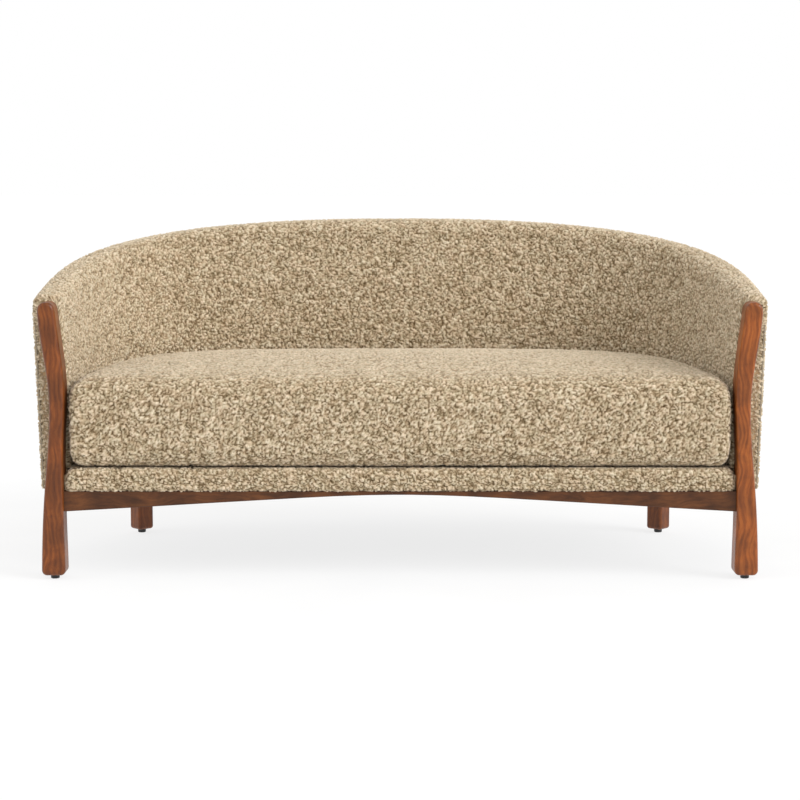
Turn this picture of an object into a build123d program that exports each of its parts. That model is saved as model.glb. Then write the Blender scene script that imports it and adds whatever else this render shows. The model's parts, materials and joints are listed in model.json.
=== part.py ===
from build123d import *
import os
from bisect import bisect_left
from math import cos, hypot, pi, sin

# Small barrel-back sofa with a loose bench cushion, sculpted wooden front posts and short back legs.
# Millimetres. X runs along the sofa, +Y towards its back, +Z up; the origin is on the floor,
# in the middle of the footprint.

os.makedirs("parts", exist_ok=True)

# ---- driving dimensions -------------------------------------------------------------------------

# plan of the upholstered shell, measured on its outer face at the bottom edge
HALF_WIDTH = 822
ARM_FRONT_Y = -344.5
WIDEST_Y = -305
BACK_Y = 375
PLAN_ROUNDNESS = 3.3

# section of the shell, from the arm's front to the middle of the back
SHELL_BOTTOM_Z = 200
ARM_CREST_Z = 645
BACK_CREST_Z = 795
ARM_THICKNESS = 66
BACK_THICKNESS = 140
ARM_LEAN = 0.030
BACK_LEAN = 0.045
ARM_RECLINE = 19
BACK_RECLINE = 75
CREST_ROUNDING = 0.4
CREST_SWEEP = 0.7

# layers of the shell, measured inwards from its outer face
SKIN = 2.5
LINER_OUT = 3.1
LINER_IN = 6.1
FRAME_OUT = 7
FRAME_IN = 27
WEBBING_OUT = 27.5
WEBBING_IN = 28.7
FOAM_BACK = 29.5
SKIN_GAP = 0.6
SEAM_DROP = 62
RAIL_DROP = 48
RAIL_HEIGHT = 62
CURVE_START = 90
STATIONS = 21

# wooden frame of the shell
ARM_BLOCK_DEPTH = 44
ARM_BLOCK_FRONT_INSET = 11
UPRIGHT_STATIONS = [k / 10 for k in range(1, 10)]
UPRIGHT_WIDTH = 44
UPRIGHT_TOP_GAP = 4
UPRIGHT_SCREW_DEPTH = 30
STRAP_WIDTH = 50
STRAP_SHARES = (0.16, 0.42, 0.68)

# seat frame and deck
RAIL_BOTTOM_Z = 203.5
RAIL_TOP_Z = 238
BASE_RAIL_WIDTH = 32
FRONT_RAIL_Y = -375
FRONT_RAIL_THICKNESS = 25
DECK_PAD_Z = 248
DECK_PAD_TOP_Z = 254
DECK_CLOTH = 1.5
WRAP_LOW_Z = 250.5

# loose cushion
CUSHION_BOTTOM_Z = 258
CUSHION_TOP_Z = 464
CUSHION_FRONT_Y = -393
CUSHION_GAP = 8
CUSHION_TOP_ROUND = 42
CUSHION_BOTTOM_ROUND = 24
COVER_THICKNESS = 3

CUSHION_CORNER = 50
ZIP_Z = 350
ZIP_SLOT_HEIGHT = 7
ZIP_SLOT_LENGTH = 640

# wooden posts, legs and apron
POST_FRONT_Y = -400
POST_BACK_Y = -345
FOOT_Z = 9.5
POST_TOP_Z = 634
APRON_LAND_X = 765
APRON_FRONT_Y = -388
APRON_THICKNESS = 22
APRON_TOP_Z = 202.8
APRON_END_Z = 156.5
APRON_MIDDLE_Z = 195
APRON_ARCH = [(135, 192.1), (270, 185.3), (540, 169.5)]
BACK_LEG_X = 663
BACK_LEG_Y = 200
BACK_LEG_SIDE = 45
BACK_LEG_TURN = 42
LEG_BOLT_OFFSET = -12

# springs
SPRING_X = [-525, -375, -225, -75, 75, 225, 375, 525]
SPRING_Z = 242
SPRING_WIRE = 1.9
SPRING_HALF_WIDTH = 22
SPRING_STEP = 24
SPRING_FRONT_Y = -360
CLIP_THICKNESS = 1.3
CLIP_HALF_LENGTH = 10
CLIP_LIP = 3.5
TIE_WIRE = 1.2
TIE_WIRE_Y = (-170, 40)
TIE_WIRE_HALF_LENGTH = 590

# screws, bolts and inserts
SCREW_RADIUS = 2.2
SCREW_CLEARANCE = 0.1
CORNER_SCREW_LENGTH = 22
CORNER_SCREW_SPOTS = [(-730, 214), (730, 214), (-748, 225), (748, 225)]
BOLT_RADIUS = 4
BOLT_CLEARANCE = 0.15
BOLT_HEAD_RADIUS = 7
BOLT_HEAD = 5
WASHER_RADIUS = 9
WASHER = 1.6
POST_BOLTS = [(783, 300), (777, 440), (789, 570)]
POST_HOLE_DEPTH = 36
INSERT_RADIUS = 6
INSERT_LENGTH = 16
COUNTERBORE_RADIUS = 10
COUNTERBORE_DEPTH = 9
BASE_STUD_X = 790
BASE_STUD_Z = 221
BASE_STUD_LENGTH = 75
BARREL_NUT_Y = ARM_FRONT_Y + 38
BARREL_NUT_RADIUS = 6
BARREL_NUT_LENGTH = 26
DOWEL_RADIUS = 4
DOWEL_LENGTH = 30
DOWEL_YZ = [(-377, 170), (-377, 190)]
TEE_NUT_RADIUS = 5.5
TEE_NUT_FLANGE = 10
TEE_NUT_DEPTH = 10
HANGER_BOLT_LENGTH = 77
LEG_BOLT_DEPTH = 45

# levelling glides
GLIDE_RADIUS = 10
GLIDE_HEIGHT = 7
STEM_LENGTH = 34
FRONT_GLIDE_X = 790
FRONT_GLIDE_Y = -373
GLIDE_INSERT_RADIUS = 6.5
GLIDE_INSERT_LENGTH = 18
GLIDE_SPOTS = {
    "front_left": (-FRONT_GLIDE_X, FRONT_GLIDE_Y),
    "front_right": (FRONT_GLIDE_X, FRONT_GLIDE_Y),
    "back_left": (-BACK_LEG_X, BACK_LEG_Y),
    "back_right": (BACK_LEG_X, BACK_LEG_Y),
}


def save(piece, name):
    piece.part.label = name
    export_step(piece.part, f"parts/{name}.step")


def mirrored(piece, name):
    with BuildPart() as twin:
        add(mirror(piece.part, about=Plane.YZ))
    save(twin, name)


# ---- plan and section of the curved shell -------------------------------------------------------

def superellipse(turn):
    """Point on the curved part of the outer plan; turn runs from 0 at the left arm to pi at the right."""
    side = -1 if turn < pi / 2 else 1
    power = 2 / PLAN_ROUNDNESS
    x = side * HALF_WIDTH * abs(cos(turn)) ** power
    y = WIDEST_Y + (BACK_Y - WIDEST_Y) * abs(sin(turn)) ** power
    return x, y


def left_half_lengths():
    """Arc length from the left arm's front to each of many points, up to the middle of the back."""
    steps = 4000
    points = [(-HALF_WIDTH, ARM_FRONT_Y)]
    points += [superellipse(pi / 2 * i / steps) for i in range(steps + 1)]
    lengths = [0]
    for start, end in zip(points, points[1:]):
        lengths.append(lengths[-1] + hypot(end[0] - start[0], end[1] - start[1]))
    return points, lengths


OUTLINE, LENGTHS = left_half_lengths()
HALF_LENGTH = LENGTHS[-1]


def on_outline(f):
    """Point and inward direction on the outer plan. f runs 0 to 1 along it; 0.5 is the back's middle."""
    if f > 0.5:
        x, y, in_x, in_y = on_outline(1 - f)
        return -x, y, -in_x, in_y
    i = min(max(bisect_left(LENGTHS, 2 * f * HALF_LENGTH), 1), len(LENGTHS) - 1)
    start = OUTLINE[i - 1]
    end = OUTLINE[i]
    share = (2 * f * HALF_LENGTH - LENGTHS[i - 1]) / (LENGTHS[i] - LENGTHS[i - 1])
    x = start[0] + (end[0] - start[0]) * share
    y = start[1] + (end[1] - start[1]) * share
    if y <= WIDEST_Y:
        return x, y, 1, 0
    power = PLAN_ROUNDNESS - 1
    slope_x = (abs(x) / HALF_WIDTH) ** power / HALF_WIDTH
    slope_y = ((y - WIDEST_Y) / (BACK_Y - WIDEST_Y)) ** power / (BACK_Y - WIDEST_Y)
    size = hypot(slope_x, slope_y)
    return x, y, slope_x / size, -slope_y / size


def station(f):
    """Upright plane across the shell: origin under the outer foot line, x inwards, y up."""
    x, y, in_x, in_y = on_outline(f)
    inward = Vector(in_x, in_y, 0)
    return Plane(origin=(x, y, 0), x_dir=inward, z_dir=inward.cross(Vector(0, 0, 1)))


def foot_point(f, inset):
    """Plan point a given distance inside the outer foot line."""
    x, y, in_x, in_y = on_outline(f)
    return x + in_x * inset, y + in_y * inset


def depth(f):
    """0 at the arm's front, 1 at the middle of the back."""
    return (on_outline(f)[1] - ARM_FRONT_Y) / (BACK_Y - ARM_FRONT_Y)


def blend(front, back, s):
    return front + (back - front) * s


def crest(s):
    return blend(ARM_CREST_Z, BACK_CREST_Z, 1 - (1 - min(s, 1)) ** CREST_SWEEP)


def outer(s, z):
    return -blend(ARM_LEAN, BACK_LEAN, s) * (z - SHELL_BOTTOM_Z)


def inner(s, z):
    rise = max(0, z - DECK_PAD_TOP_Z) / (crest(s) - DECK_PAD_TOP_Z)
    thickness = blend(ARM_THICKNESS, BACK_THICKNESS, s * (1.5 - 0.5 * s))
    return thickness - blend(ARM_RECLINE, BACK_RECLINE, s) * rise**2


def rounding(s):
    return CREST_ROUNDING * (inner(s, crest(s)) - outer(s, crest(s)))


def draw_rim(s, inset, inner_low, outer_low):
    """Inner face, rounded crest and outer face of the shell, a given depth under its surface."""
    radius = rounding(s)
    shoulder = crest(s) - radius
    r = radius - inset
    diagonal = r * sin(pi / 4)
    middle = (inner_low + shoulder) / 2
    inner_centre = inner(s, shoulder) - radius
    outer_centre = outer(s, shoulder) + radius
    Spline(
        (inner(s, inner_low) - inset, inner_low),
        (inner(s, middle) - inset, middle),
        (inner_centre + r, shoulder),
    )
    ThreePointArc(
        (inner_centre + r, shoulder),
        (inner_centre + diagonal, shoulder + diagonal),
        (inner_centre, shoulder + r),
    )
    Line((inner_centre, shoulder + r), (outer_centre, shoulder + r))
    ThreePointArc(
        (outer_centre, shoulder + r),
        (outer_centre - diagonal, shoulder + diagonal),
        (outer_centre - r, shoulder),
    )
    Line((outer_centre - r, shoulder), (outer(s, outer_low) + inset, outer_low))


def arc_fraction(distance):
    """Share of the whole outline at a distance from the left arm's front."""
    return distance / (2 * HALF_LENGTH)


ARM_BLOCK_BACK = arc_fraction(ARM_BLOCK_DEPTH)
PADDED_FRONT = arc_fraction(ARM_BLOCK_DEPTH + 2)
CURVE_FRONT = arc_fraction(CURVE_START)
CURVE_STATIONS = [blend(CURVE_FRONT, 1 - CURVE_FRONT, i / (STATIONS - 1)) for i in range(STATIONS)]
WHOLE_ARC = [0, PADDED_FRONT] + CURVE_STATIONS + [1 - PADDED_FRONT, 1]
PADDED_ARC = [PADDED_FRONT] + CURVE_STATIONS + [1 - PADDED_FRONT]


# ---- shell: skins, foam and liner ---------------------------------------------------------------

def inside_back_cover():
    with BuildPart() as cover:
        for f in WHOLE_ARC:
            s = depth(f)
            seam = crest(s) - SEAM_DROP
            with BuildSketch(station(f)):
                with BuildLine():
                    draw_rim(s, 0, WRAP_LOW_Z, seam)
                    draw_rim(s, SKIN, WRAP_LOW_Z, seam)
                    Line((inner(s, WRAP_LOW_Z), WRAP_LOW_Z), (inner(s, WRAP_LOW_Z) - SKIN, WRAP_LOW_Z))
                    Line((outer(s, seam), seam), (outer(s, seam) + SKIN, seam))
                make_face()
        loft()
    save(cover, "inside_back_cover")


def outside_back_cover():
    lip = 13
    with BuildPart() as cover:
        for f in WHOLE_ARC:
            s = depth(f)
            top = crest(s) - SEAM_DROP - 1
            with BuildSketch(station(f)):
                with BuildLine():
                    Polyline(
                        (outer(s, top), top),
                        (0, SHELL_BOTTOM_Z),
                        (lip, SHELL_BOTTOM_Z),
                        (lip, SHELL_BOTTOM_Z + SKIN),
                        (SKIN, SHELL_BOTTOM_Z + SKIN),
                        (outer(s, top) + SKIN, top),
                        close=True,
                    )
                make_face()
        loft()
    save(cover, "outside_back_cover")


def back_liner():
    with BuildPart() as liner:
        for f in WHOLE_ARC:
            s = depth(f)
            top = crest(s) - SEAM_DROP - 3
            with BuildSketch(station(f)):
                with BuildLine():
                    Polyline(
                        (outer(s, top) + LINER_OUT, top),
                        (outer(s, RAIL_BOTTOM_Z) + LINER_OUT, RAIL_BOTTOM_Z),
                        (outer(s, RAIL_BOTTOM_Z) + LINER_IN, RAIL_BOTTOM_Z),
                        (outer(s, top) + LINER_IN, top),
                        close=True,
                    )
                make_face()
        loft()
    save(liner, "back_liner")


def back_foam():
    inset = SKIN + SKIN_GAP
    with BuildPart() as foam:
        for f in PADDED_ARC:
            s = depth(f)
            rail_top = crest(s) - RAIL_DROP + 1
            with BuildSketch(station(f)):
                with BuildLine():
                    draw_rim(s, inset, WRAP_LOW_Z, rail_top)
                    Polyline(
                        (outer(s, rail_top) + inset, rail_top),
                        (outer(s, rail_top) + FOAM_BACK, rail_top),
                        (outer(s, WRAP_LOW_Z) + FOAM_BACK, WRAP_LOW_Z),
                        (inner(s, WRAP_LOW_Z) - inset, WRAP_LOW_Z),
                    )
                make_face()
        loft()
    save(foam, "back_foam")


# ---- shell: frame --------------------------------------------------------------------------------

def bent_strip(arc, out, inn, low, high):
    """A strip bent round the shell through the arc's stations; low and high give its heights at depth s."""
    with BuildPart() as strip:
        for f in arc:
            s = depth(f)
            with BuildSketch(station(f)):
                with BuildLine():
                    Polyline(
                        (outer(s, low(s)) + out, low(s)),
                        (outer(s, low(s)) + inn, low(s)),
                        (outer(s, high(s)) + inn, high(s)),
                        (outer(s, high(s)) + out, high(s)),
                        close=True,
                    )
                make_face()
        loft()
    return strip.part


def rail_underside(s):
    return crest(s) - RAIL_DROP - RAIL_HEIGHT


def upright_screw_plane(f):
    middle = (FRAME_OUT + FRAME_IN) / 2
    return Plane(origin=(*foot_point(f, middle), RAIL_BOTTOM_Z), z_dir=(0, 0, 1))


def base_rail():
    ring = bent_strip(
        WHOLE_ARC, FRAME_OUT, FRAME_OUT + BASE_RAIL_WIDTH,
        lambda s: RAIL_BOTTOM_Z, lambda s: RAIL_TOP_Z,
    )
    with BuildPart() as rail:
        add(ring)
        for f in UPRIGHT_STATIONS:
            with BuildSketch(upright_screw_plane(f)):
                Circle(SCREW_RADIUS + SCREW_CLEARANCE)
        extrude(amount=RAIL_TOP_Z - RAIL_BOTTOM_Z, mode=Mode.SUBTRACT)
        with BuildSketch(Plane.XY.offset(RAIL_BOTTOM_Z)):
            with Locations((-BASE_STUD_X, BARREL_NUT_Y), (BASE_STUD_X, BARREL_NUT_Y)):
                Circle(BARREL_NUT_RADIUS + BOLT_CLEARANCE)
        extrude(amount=BARREL_NUT_LENGTH + 5, mode=Mode.SUBTRACT)
        with BuildSketch(Plane.XZ.offset(-ARM_FRONT_Y)):
            with Locations((-BASE_STUD_X, BASE_STUD_Z), (BASE_STUD_X, BASE_STUD_Z)):
                Circle(BOLT_RADIUS + BOLT_CLEARANCE)
        extrude(amount=-48, mode=Mode.SUBTRACT)
    save(rail, "base_rail")


def top_rail():
    with BuildPart() as rail:
        add(bent_strip(
            PADDED_ARC, FRAME_OUT, FRAME_IN,
            rail_underside, lambda s: crest(s) - RAIL_DROP,
        ))
    save(rail, "top_rail")


def back_uprights():
    """Nine slats that stand on the base rail and carry the top rail."""
    with BuildPart() as slats:
        for f in UPRIGHT_STATIONS:
            s = depth(f)
            low = RAIL_TOP_Z + 0.5
            edges = [f - arc_fraction(UPRIGHT_WIDTH / 2), f + arc_fraction(UPRIGHT_WIDTH / 2)]
            high = min(rail_underside(depth(edge)) for edge in edges) - UPRIGHT_TOP_GAP
            with BuildSketch(station(f)):
                with BuildLine():
                    Polyline(
                        (outer(s, low) + FRAME_OUT + 0.6, low),
                        (outer(s, low) + FRAME_IN, low),
                        (outer(s, high) + FRAME_IN, high),
                        (outer(s, high) + FRAME_OUT + 0.6, high),
                        close=True,
                    )
                make_face()
            extrude(amount=UPRIGHT_WIDTH / 2, both=True)
        for f in UPRIGHT_STATIONS:
            with BuildSketch(upright_screw_plane(f)):
                Circle(SCREW_RADIUS + SCREW_CLEARANCE)
        extrude(amount=RAIL_TOP_Z - RAIL_BOTTOM_Z + UPRIGHT_SCREW_DEPTH, mode=Mode.SUBTRACT)
    save(slats, "back_uprights")


def upright_screws():
    with BuildPart() as screws:
        for f in UPRIGHT_STATIONS:
            with BuildSketch(upright_screw_plane(f)):
                Circle(SCREW_RADIUS)
        extrude(amount=RAIL_TOP_Z - RAIL_BOTTOM_Z + UPRIGHT_SCREW_DEPTH - 1)
    save(screws, "upright_screws")


def back_webbing():
    """Three elastic straps stretched round the inner side of the slats."""
    with BuildPart() as straps:
        for share in STRAP_SHARES:
            add(bent_strip(
                PADDED_ARC, WEBBING_OUT, WEBBING_IN,
                lambda s: blend(WRAP_LOW_Z, crest(s), share),
                lambda s: blend(WRAP_LOW_Z, crest(s), share) + STRAP_WIDTH,
            ))
    save(straps, "back_webbing")


# ---- front posts and the blocks behind them --------------------------------------------------------

def front_post():
    """Post that is leg and arm front in one: flared foot, narrow waist, head leaning outwards."""
    with BuildPart() as post:
        with BuildSketch(Plane.XZ.offset(-POST_BACK_Y)):
            with BuildLine():
                Spline(
                    (-817, FOOT_Z + 12), (-806.5, 215), (-795, 440), (-816, 608),
                    tangents=[(0.02, 1), (-0.05, 1)],
                )
                Spline((-816, 608), (-797, POST_TOP_Z), (-776, 610), tangents=[(-0.05, 1), (0.1, -1)])
                Spline((-776, 610), (-759, 450), (-APRON_LAND_X, 262), tangents=[(0.1, -1), (0, -1)])
                Line((-APRON_LAND_X, 262), (-APRON_LAND_X, 150))
                Spline((-APRON_LAND_X, 150), (-763, FOOT_Z + 12), tangents=[(0, -1), (0, -1)])
                RadiusArc((-763, FOOT_Z + 12), (-775, FOOT_Z), 12)
                Line((-775, FOOT_Z), (-805, FOOT_Z))
                RadiusArc((-805, FOOT_Z), (-817, FOOT_Z + 12), 12)
            make_face()
        extrude(amount=POST_BACK_Y - POST_FRONT_Y)
        fillet(post.faces().sort_by(Axis.Y)[0].edges(), 9)
        fillet(post.faces().sort_by(Axis.Y)[-1].edges(), 3)
        with BuildSketch(Plane.XZ.offset(-POST_BACK_Y)):
            with Locations(*[(-x, z) for x, z in POST_BOLTS]):
                Circle(INSERT_RADIUS + BOLT_CLEARANCE)
        extrude(amount=INSERT_LENGTH + 1, mode=Mode.SUBTRACT)
        with BuildSketch(Plane.XZ.offset(-POST_BACK_Y)):
            with Locations(*[(-x, z) for x, z in POST_BOLTS], (-BASE_STUD_X, BASE_STUD_Z)):
                Circle(BOLT_RADIUS + BOLT_CLEARANCE)
        extrude(amount=POST_HOLE_DEPTH, mode=Mode.SUBTRACT)
        with BuildSketch(Plane.YZ.offset(-APRON_LAND_X)):
            with Locations(*DOWEL_YZ):
                Circle(DOWEL_RADIUS + SCREW_CLEARANCE)
        extrude(amount=-DOWEL_LENGTH / 2 - 1, mode=Mode.SUBTRACT)
        with BuildSketch(Plane.XY.offset(FOOT_Z)):
            with Locations((-FRONT_GLIDE_X, FRONT_GLIDE_Y)):
                Circle(GLIDE_INSERT_RADIUS + BOLT_CLEARANCE)
        extrude(amount=GLIDE_INSERT_LENGTH + 14, mode=Mode.SUBTRACT)
    save(post, "front_post_left")
    mirrored(post, "front_post_right")


def arm_block():
    """Shaped hardwood block behind the post, filling the arm's full thickness under the cover."""
    low = RAIL_TOP_Z + 0.5
    with BuildPart() as block:
        for f, inset in (
            (0, ARM_BLOCK_FRONT_INSET), (ARM_BLOCK_BACK / 2, FRAME_OUT), (ARM_BLOCK_BACK, FRAME_OUT),
        ):
            s = depth(f)
            with BuildSketch(station(f)):
                with BuildLine():
                    draw_rim(s, inset, low, low)
                    Line((inner(s, low) - inset, low), (outer(s, low) + inset, low))
                make_face()
        loft()
        with BuildSketch(Plane.XZ.offset(-ARM_FRONT_Y)):
            with Locations(*[(-x, z) for x, z in POST_BOLTS]):
                Circle(BOLT_RADIUS + BOLT_CLEARANCE)
        extrude(amount=-ARM_BLOCK_DEPTH - 5, mode=Mode.SUBTRACT)
        with BuildSketch(Plane.XZ.offset(-ARM_FRONT_Y - ARM_BLOCK_DEPTH + COUNTERBORE_DEPTH)):
            with Locations(*[(-x, z) for x, z in POST_BOLTS]):
                Circle(COUNTERBORE_RADIUS)
        extrude(amount=-COUNTERBORE_DEPTH - 5, mode=Mode.SUBTRACT)
    save(block, "arm_block_left")
    mirrored(block, "arm_block_right")


def post_hardware():
    """Bolts, washers and threaded inserts that clamp each post to its arm block, and the base studs."""
    seat_y = ARM_FRONT_Y + ARM_BLOCK_DEPTH - COUNTERBORE_DEPTH
    spots = [(side * x, z) for side in (-1, 1) for x, z in POST_BOLTS]
    with BuildPart() as bolts:
        with BuildSketch(Plane.XZ.offset(-seat_y - WASHER)):
            with Locations(*spots):
                RegularPolygon(BOLT_HEAD_RADIUS, 6)
        extrude(amount=-BOLT_HEAD)
        with BuildSketch(Plane.XZ.offset(-seat_y - WASHER)):
            with Locations(*spots):
                Circle(BOLT_RADIUS)
        extrude(amount=ARM_BLOCK_DEPTH + 24)
    save(bolts, "post_bolts")
    with BuildPart() as washers:
        with BuildSketch(Plane.XZ.offset(-seat_y - WASHER + 0.05)):
            with Locations(*spots):
                Circle(WASHER_RADIUS)
                Circle(BOLT_RADIUS + BOLT_CLEARANCE, mode=Mode.SUBTRACT)
        extrude(amount=WASHER - 0.1)
    save(washers, "bolt_washers")
    with BuildPart() as inserts:
        with BuildSketch(Plane.XZ.offset(-POST_BACK_Y + 0.5)):
            with Locations(*spots):
                Circle(INSERT_RADIUS)
                Circle(BOLT_RADIUS + BOLT_CLEARANCE, mode=Mode.SUBTRACT)
        extrude(amount=INSERT_LENGTH)
    save(inserts, "post_inserts")
    with BuildPart() as studs:
        with BuildSketch(Plane.XZ.offset(-BARREL_NUT_Y - 5)):
            with Locations((-BASE_STUD_X, BASE_STUD_Z), (BASE_STUD_X, BASE_STUD_Z)):
                Circle(BOLT_RADIUS)
        extrude(amount=BASE_STUD_LENGTH)
    save(studs, "base_studs")
    with BuildPart() as nuts:
        with BuildSketch(Plane.XY.offset(RAIL_BOTTOM_Z + 4)):
            with Locations((-BASE_STUD_X, BARREL_NUT_Y), (BASE_STUD_X, BARREL_NUT_Y)):
                Circle(BARREL_NUT_RADIUS)
        extrude(amount=BARREL_NUT_LENGTH)
        with BuildSketch(Plane.XZ.offset(-BARREL_NUT_Y - 10)):
            with Locations((-BASE_STUD_X, BASE_STUD_Z), (BASE_STUD_X, BASE_STUD_Z)):
                Circle(BOLT_RADIUS + BOLT_CLEARANCE)
        extrude(amount=20, mode=Mode.SUBTRACT)
    save(nuts, "barrel_nuts")


# ---- apron -------------------------------------------------------------------------------------

def front_apron():
    """Rail between the posts; its lower edge rises to a soft peak in the middle."""
    end_x = APRON_LAND_X - 0.3
    with BuildPart() as apron:
        with BuildSketch(Plane.XZ.offset(-APRON_FRONT_Y)):
            with BuildLine():
                Spline(
                    (-end_x, APRON_END_Z), *[(-x, z) for x, z in reversed(APRON_ARCH)],
                    (0, APRON_MIDDLE_Z), *APRON_ARCH, (end_x, APRON_END_Z),
                )
                Line((end_x, APRON_END_Z), (end_x, APRON_TOP_Z))
                Line((end_x, APRON_TOP_Z), (-end_x, APRON_TOP_Z))
                Line((-end_x, APRON_TOP_Z), (-end_x, APRON_END_Z))
            make_face()
        extrude(amount=-APRON_THICKNESS)
        chamfer(apron.edges().filter_by(GeomType.BSPLINE), 1.5)
        for side in (-1, 1):
            with BuildSketch(Plane.YZ.offset(side * end_x)):
                with Locations(*DOWEL_YZ):
                    Circle(DOWEL_RADIUS + SCREW_CLEARANCE)
            extrude(amount=-side * (DOWEL_LENGTH / 2 + 1), mode=Mode.SUBTRACT)
    save(apron, "front_apron")
    with BuildPart() as dowels:
        for side in (-1, 1):
            with BuildSketch(Plane.YZ.offset(side * (APRON_LAND_X - DOWEL_LENGTH / 2))):
                with Locations(*DOWEL_YZ):
                    Circle(DOWEL_RADIUS)
            extrude(amount=side * DOWEL_LENGTH)
    save(dowels, "apron_dowels")


# ---- seat frame ----------------------------------------------------------------------------------

def front_rail():
    with BuildPart() as rail:
        with BuildSketch(Plane.XY.offset(RAIL_BOTTOM_Z)):
            with Locations((0, FRONT_RAIL_Y + FRONT_RAIL_THICKNESS / 2)):
                Rectangle(2 * APRON_LAND_X - 1, FRONT_RAIL_THICKNESS)
        extrude(amount=RAIL_TOP_Z - RAIL_BOTTOM_Z)
    save(rail, "seat_front_rail")


def corner_blocks():
    rear = FRONT_RAIL_Y + FRONT_RAIL_THICKNESS + 0.3
    with BuildPart() as blocks:
        for side in (-1, 1):
            with BuildSketch(Plane.XY.offset(RAIL_BOTTOM_Z + 2)):
                with BuildLine():
                    Polyline(
                        (side * 690, rear), (side * 764, rear), (side * 764, POST_BACK_Y + 0.8),
                        (side * 777, POST_BACK_Y + 0.8), (side * 777, -275), close=True,
                    )
                make_face()
            extrude(amount=28)
        with BuildSketch(Plane.XZ.offset(-rear)):
            with Locations(*CORNER_SCREW_SPOTS):
                Circle(SCREW_RADIUS + SCREW_CLEARANCE)
        extrude(amount=-30, mode=Mode.SUBTRACT)
    save(blocks, "corner_blocks")
    with BuildPart() as screws:
        with BuildSketch(Plane.XZ.offset(-rear)):
            with Locations(*CORNER_SCREW_SPOTS):
                Circle(SCREW_RADIUS)
        extrude(amount=-CORNER_SCREW_LENGTH)
    save(screws, "corner_block_screws")


def seat_stretcher():
    """Middle bearer from the front rail to the base rail, under the springs."""
    first = FRONT_RAIL_Y + FRONT_RAIL_THICKNESS + 0.3
    last = BACK_Y - FRAME_OUT - BASE_RAIL_WIDTH - 0.6
    with BuildPart() as bearer:
        with BuildSketch(Plane.XY.offset(RAIL_BOTTOM_Z)):
            with Locations((0, (first + last) / 2)):
                Rectangle(60, last - first)
        extrude(amount=21)
        chamfer(bearer.edges().filter_by(Axis.Y), 2)
    save(bearer, "seat_stretcher")


def leg_plane(z, side=-1):
    """Level plane centred on a back leg and turned with it; side is -1 for the left leg, 1 for the right."""
    across = Vector(1, 0, 0).rotate(Axis.Z, -side * BACK_LEG_TURN)
    return Plane(origin=(side * BACK_LEG_X, BACK_LEG_Y, z), x_dir=across, z_dir=(0, 0, 1))


def back_leg_block():
    """Block fixed inside the base rail that takes a back leg's hanger bolt."""
    rail_space = bent_strip(
        WHOLE_ARC, FRAME_OUT, FRAME_OUT + BASE_RAIL_WIDTH + 0.4,
        lambda s: RAIL_BOTTOM_Z - 5, lambda s: RAIL_TOP_Z + 5,
    )
    with BuildPart() as block:
        with BuildSketch(leg_plane(RAIL_BOTTOM_Z)):
            with Locations((0, -24)):
                Rectangle(78, 64)
        extrude(amount=RAIL_TOP_Z - RAIL_BOTTOM_Z)
        add(rail_space, mode=Mode.SUBTRACT)
        with BuildSketch(leg_plane(RAIL_BOTTOM_Z)):
            with Locations((0, LEG_BOLT_OFFSET)):
                Circle(BOLT_RADIUS + BOLT_CLEARANCE)
        extrude(amount=RAIL_TOP_Z - RAIL_BOTTOM_Z, mode=Mode.SUBTRACT)
        with BuildSketch(leg_plane(RAIL_TOP_Z - TEE_NUT_DEPTH)):
            with Locations((0, LEG_BOLT_OFFSET)):
                Circle(TEE_NUT_RADIUS + BOLT_CLEARANCE)
        extrude(amount=TEE_NUT_DEPTH, mode=Mode.SUBTRACT)
    save(block, "back_leg_block_left")
    mirrored(block, "back_leg_block_right")


def back_leg():
    with BuildPart() as leg:
        with BuildSketch(leg_plane(FOOT_Z)):
            RectangleRounded(BACK_LEG_SIDE, BACK_LEG_SIDE, 8)
        extrude(amount=RAIL_BOTTOM_Z - 0.3 - FOOT_Z)
        fillet(leg.faces().sort_by(Axis.Z)[0].edges(), 7.5)
        with BuildSketch(leg_plane(RAIL_BOTTOM_Z - LEG_BOLT_DEPTH - 1)):
            with Locations((0, LEG_BOLT_OFFSET)):
                Circle(BOLT_RADIUS + BOLT_CLEARANCE)
        extrude(amount=LEG_BOLT_DEPTH + 1, mode=Mode.SUBTRACT)
        with BuildSketch(leg_plane(FOOT_Z)):
            Circle(GLIDE_INSERT_RADIUS + BOLT_CLEARANCE)
        extrude(amount=GLIDE_INSERT_LENGTH + 14, mode=Mode.SUBTRACT)
    save(leg, "back_leg_left")
    mirrored(leg, "back_leg_right")


def back_leg_hardware():
    with BuildPart() as bolt:
        with BuildSketch(leg_plane(RAIL_BOTTOM_Z - LEG_BOLT_DEPTH)):
            with Locations((0, LEG_BOLT_OFFSET)):
                Circle(BOLT_RADIUS)
        extrude(amount=HANGER_BOLT_LENGTH)
    with BuildPart() as bolts:
        add(bolt.part)
        add(mirror(bolt.part, about=Plane.YZ))
    save(bolts, "leg_hanger_bolts")
    with BuildPart() as nut:
        with BuildSketch(leg_plane(RAIL_TOP_Z + 0.2)):
            with Locations((0, LEG_BOLT_OFFSET)):
                Circle(TEE_NUT_FLANGE)
                Circle(BOLT_RADIUS + BOLT_CLEARANCE, mode=Mode.SUBTRACT)
        extrude(amount=1.5)
        with BuildSketch(leg_plane(RAIL_TOP_Z - TEE_NUT_DEPTH + 0.5)):
            with Locations((0, LEG_BOLT_OFFSET)):
                Circle(TEE_NUT_RADIUS)
                Circle(BOLT_RADIUS + BOLT_CLEARANCE, mode=Mode.SUBTRACT)
        extrude(amount=TEE_NUT_DEPTH)
    with BuildPart() as nuts:
        add(nut.part)
        add(mirror(nut.part, about=Plane.YZ))
    save(nuts, "leg_tee_nuts")


# ---- glides -------------------------------------------------------------------------------------

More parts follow.
